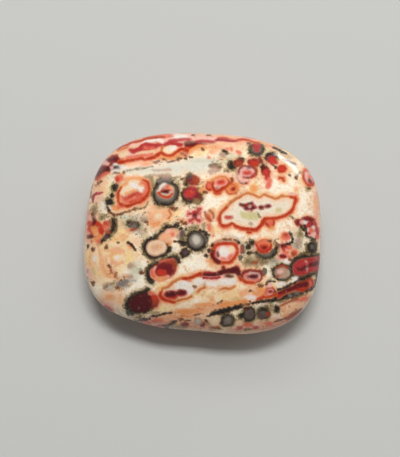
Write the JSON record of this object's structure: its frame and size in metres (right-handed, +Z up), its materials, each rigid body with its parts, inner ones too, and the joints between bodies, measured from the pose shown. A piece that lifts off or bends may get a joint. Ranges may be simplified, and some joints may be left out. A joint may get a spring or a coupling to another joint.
{
  "type": "leopard skin jasper stone",
  "caption": "Polished pillow-shaped stone with a domed crown and a small flat underneath; cream ground covered in red, black, grey and orange orb markings and bands.",
  "frame": {"origin": "middle of the stone's length and depth, on the surface that its resting flat stands on", "axes": "+X along the stone's length, +Y to the far side of the picture, +Z up through the crown"},
  "size_m": [0.0474, 0.041, 0.0159],
  "materials": {
    "jasper": "polished"
  },
  "bodies": {
    "root": {"stone": "jasper"}
  },
  "joints": []
}
